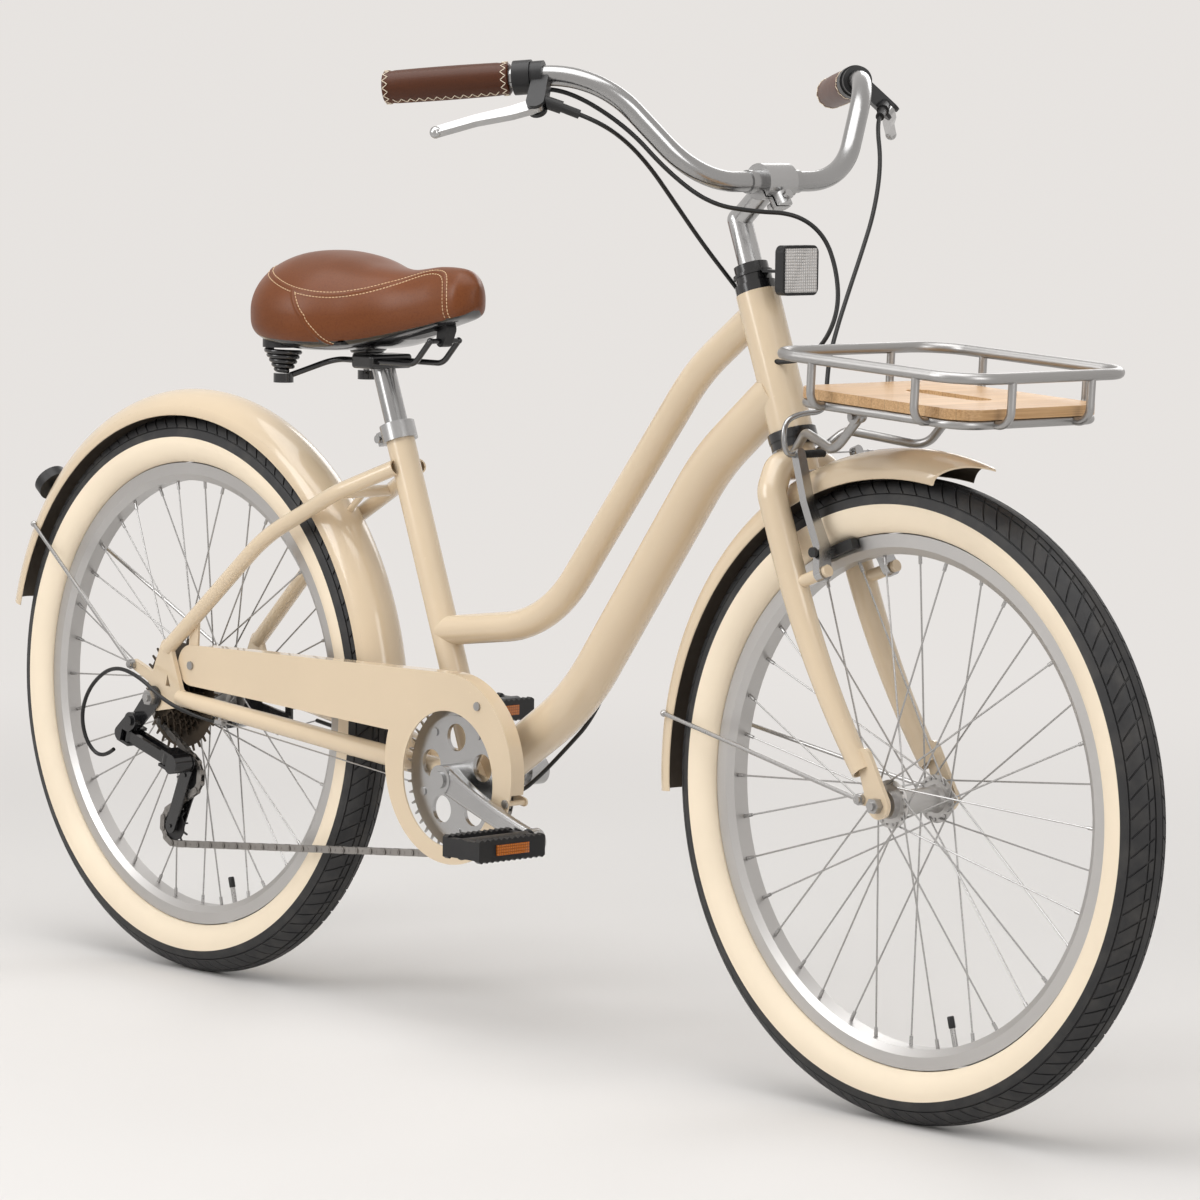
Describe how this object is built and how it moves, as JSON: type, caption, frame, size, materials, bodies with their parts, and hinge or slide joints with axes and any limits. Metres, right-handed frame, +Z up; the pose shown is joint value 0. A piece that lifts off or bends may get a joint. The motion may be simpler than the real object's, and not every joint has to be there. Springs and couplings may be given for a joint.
{
  "type": "beach cruiser bicycle",
  "caption": "Step-through beach cruiser bicycle with balloon tyres, derailleur gears, full fenders, front tray basket with a bamboo deck, sprung leather saddle and swept handlebar.",
  "frame": {"origin": "on the ground, under the middle of the bicycle's length, in its middle plane", "axes": "+X forward towards the front wheel, +Y to the rider's left, +Z up"},
  "size_m": [1.9307, 0.7034, 1.1255],
  "materials": {
    "cream_paint": "gloss",
    "polished_aluminium": "polished",
    "wheel_aluminium": "brushed",
    "zinc_steel": "satin",
    "chain_steel": "oiled",
    "black_metal": "satin",
    "black_plastic": "matt",
    "reflector_plastic": "prismatic",
    "tyre_rubber": "matt",
    "black_rubber": "matt",
    "bamboo": "lacquered",
    "brown_leather": "satin"
  },
  "bodies": {
    "frame": {"main_frame": "cream_paint", "rear_triangle": "cream_paint", "bearing_cups": "black_metal", "seat_clamp": "polished_aluminium", "rear_fender": "cream_paint", "rear_fender_stay": "zinc_steel", "rear_reflector": "black_plastic", "chain_guard": "cream_paint", "rear_axle": "zinc_steel", "rear_brake": "black_metal", "derailleur_hanger": "black_metal", "control_cables": "black_rubber", "frame_fasteners": "zinc_steel", "chain": "chain_steel"},
    "steering": {"fork": "cream_paint", "headset_races": "black_metal", "stem": "polished_aluminium", "handlebar": "polished_aluminium", "grips": "brown_leather", "lever_mounts": "black_plastic", "front_axle": "zinc_steel", "front_fender": "cream_paint", "front_fender_stay": "zinc_steel", "front_reflector": "reflector_plastic", "basket_frame": "polished_aluminium", "basket_deck": "bamboo", "basket_bracket": "polished_aluminium", "front_brake_cable": "black_rubber"},
    "front_wheel": {"front_tyre": "tyre_rubber", "front_rim": "wheel_aluminium", "front_spokes": "zinc_steel", "front_hub": "wheel_aluminium"},
    "rear_wheel": {"rear_tyre": "tyre_rubber", "rear_rim": "wheel_aluminium", "rear_spokes": "zinc_steel", "rear_hub": "wheel_aluminium"},
    "crank": {"crankset": "polished_aluminium", "chainring": "polished_aluminium"},
    "cogs": {"sprockets": "chain_steel"},
    "left_pedal": {"pedal_left": "black_plastic"},
    "right_pedal": {"pedal_right": "black_plastic"},
    "outer_link": {"derailleur_outer_link": "black_metal"},
    "inner_link": {"derailleur_inner_link": "black_metal"},
    "knuckle": {"derailleur_knuckle": "black_metal"},
    "cage": {"derailleur_cage": "black_metal"},
    "upper_jockey": {"jockey_upper": "black_plastic"},
    "lower_jockey": {"jockey_lower": "black_plastic"},
    "left_lever": {"brake_lever_left": "polished_aluminium"},
    "right_lever": {"brake_lever_right": "polished_aluminium"},
    "twist_grip": {"twist_shifter": "black_plastic"},
    "left_arm": {"brake_arm_left": "polished_aluminium", "brake_pads_left": "black_rubber"},
    "right_arm": {"brake_arm_right": "polished_aluminium", "brake_pads_right": "black_rubber"},
    "drum_arm": {"rear_brake_arm": "black_metal"},
    "saddle_post": {"seatpost": "polished_aluminium", "saddle_rails": "black_metal", "saddle_springs": "black_metal"},
    "saddle_top": {"saddle_cover": "brown_leather", "saddle_pan": "black_plastic"}
  },
  "joints": [
    {"name": "steer", "type": "hinge", "parent": "frame", "child": "steering", "pos_m": [0.42641, 0, 0.72842], "axis": [-0.3543, 0, 0.9351], "range_deg": [-60, 60], "deforming": ["control_cables"]},
    {"name": "front_wheel_spin", "type": "hinge", "parent": "steering", "child": "front_wheel", "pos_m": [0.61942, 0, 0.346], "axis": [0, 1, 0], "continuous": true},
    {"name": "rear_wheel_spin", "type": "hinge", "parent": "frame", "child": "rear_wheel", "pos_m": [-0.60058, 0, 0.346], "axis": [0, 1, 0], "continuous": true},
    {"name": "crank_spin", "type": "hinge", "parent": "frame", "child": "crank", "pos_m": [-0.06058, 0, 0.302], "axis": [0, 1, 0], "continuous": true, "deforming": ["chain"]},
    {"name": "cog_spin", "type": "hinge", "parent": "frame", "child": "cogs", "pos_m": [-0.60058, 0, 0.346], "axis": [0, 1, 0], "continuous": true, "deforming": ["chain"]},
    {"name": "left_pedal_spin", "type": "hinge", "parent": "crank", "child": "left_pedal", "pos_m": [-0.23361, 0.11, 0.35162], "axis": [0, 1, 0], "continuous": true},
    {"name": "right_pedal_spin", "type": "hinge", "parent": "crank", "child": "right_pedal", "pos_m": [0.11244, -0.11, 0.25239], "axis": [0, 1, 0], "continuous": true},
    {"name": "shift_twist", "type": "hinge", "parent": "steering", "child": "twist_grip", "pos_m": [0.26506, -0.25073, 1.10625], "axis": [0.8111, 0.579, 0.0832], "range_deg": [-36, 36], "deforming": ["chain"]},
    {"name": "outer_link_swing", "type": "hinge", "parent": "frame", "child": "outer_link", "pos_m": [-0.64458, -0.078, 0.294], "axis": [0.273, 0, 0.962], "range_deg": [-10, 10], "deforming": ["chain"]},
    {"name": "inner_link_swing", "type": "hinge", "parent": "frame", "child": "inner_link", "pos_m": [-0.64458, -0.064, 0.294], "axis": [0.273, 0, 0.962], "range_deg": [-10, 10], "deforming": ["chain"]},
    {"name": "knuckle_swing", "type": "hinge", "parent": "outer_link", "child": "knuckle", "pos_m": [-0.57058, -0.078, 0.273], "axis": [0.273, 0, 0.962], "range_deg": [-10, 10], "deforming": ["chain"]},
    {"name": "cage_pivot", "type": "hinge", "parent": "knuckle", "child": "cage", "pos_m": [-0.55658, -0.047, 0.268], "axis": [0, 1, 0], "range_deg": [-12, 20], "stiffness_Nm_per_rad": 3, "deforming": ["chain"]},
    {"name": "upper_jockey_spin", "type": "hinge", "parent": "cage", "child": "upper_jockey", "pos_m": [-0.56382, -0.047, 0.25152], "axis": [0, 1, 0], "continuous": true, "deforming": ["chain"]},
    {"name": "lower_jockey_spin", "type": "hinge", "parent": "cage", "child": "lower_jockey", "pos_m": [-0.59276, -0.047, 0.18559], "axis": [0, 1, 0], "continuous": true, "deforming": ["chain"]},
    {"name": "left_lever_pull", "type": "hinge", "parent": "steering", "child": "left_lever", "pos_m": [0.3037, 0.26605, 1.07657], "axis": [0.3385, 0.5805, 0.7406], "range_deg": [0, 25], "stiffness_Nm_per_rad": 2, "deforming": ["front_brake_cable"]},
    {"name": "right_lever_pull", "type": "hinge", "parent": "steering", "child": "right_lever", "pos_m": [0.3037, -0.26605, 1.07657], "axis": [-0.3385, 0.5805, -0.7406], "range_deg": [0, 25], "stiffness_Nm_per_rad": 2, "deforming": ["control_cables"]},
    {"name": "left_arm_swing", "type": "hinge", "parent": "steering", "child": "left_arm", "pos_m": [0.52404, 0.052, 0.58362], "axis": [0.9351, 0, 0.3543], "range_deg": [0, 2.75], "deforming": ["front_brake_cable"]},
    {"name": "right_arm_swing", "type": "hinge", "parent": "steering", "child": "right_arm", "pos_m": [0.52404, -0.052, 0.58362], "axis": [-0.9351, 0, -0.3543], "range_deg": [0, 2.75], "deforming": ["front_brake_cable"]},
    {"name": "drum_arm_swing", "type": "hinge", "parent": "frame", "child": "drum_arm", "pos_m": [-0.57258, 0.0675, 0.314], "axis": [0, -1, 0], "range_deg": [0, 10], "deforming": ["control_cables"]},
    {"name": "seatpost_slide", "type": "slide", "parent": "frame", "child": "saddle_post", "axis": [-0.3584, 0, 0.9336], "range_m": [-0.04, 0.1]},
    {"name": "saddle_flex", "type": "hinge", "parent": "saddle_post", "child": "saddle_top", "pos_m": [-0.14869, 0, 0.80099], "axis": [0, 1, 0], "range_deg": [-3, 0], "stiffness_Nm_per_rad": 2300, "deforming": ["saddle_springs"]}
  ],
  "couplings": [
    {"joint": "cog_spin", "follows": "crank_spin", "ratio": 2.2},
    {"joint": "upper_jockey_spin", "follows": "crank_spin", "ratio": -4},
    {"joint": "lower_jockey_spin", "follows": "crank_spin", "ratio": 4},
    {"joint": "outer_link_swing", "follows": "shift_twist", "ratio": 0.2778},
    {"joint": "inner_link_swing", "follows": "shift_twist", "ratio": 0.2778},
    {"joint": "knuckle_swing", "follows": "shift_twist", "ratio": -0.2778},
    {"joint": "left_arm_swing", "follows": "left_lever_pull", "ratio": 0.11},
    {"joint": "right_arm_swing", "follows": "left_lever_pull", "ratio": 0.11},
    {"joint": "drum_arm_swing", "follows": "right_lever_pull", "ratio": 0.4}
  ]
}
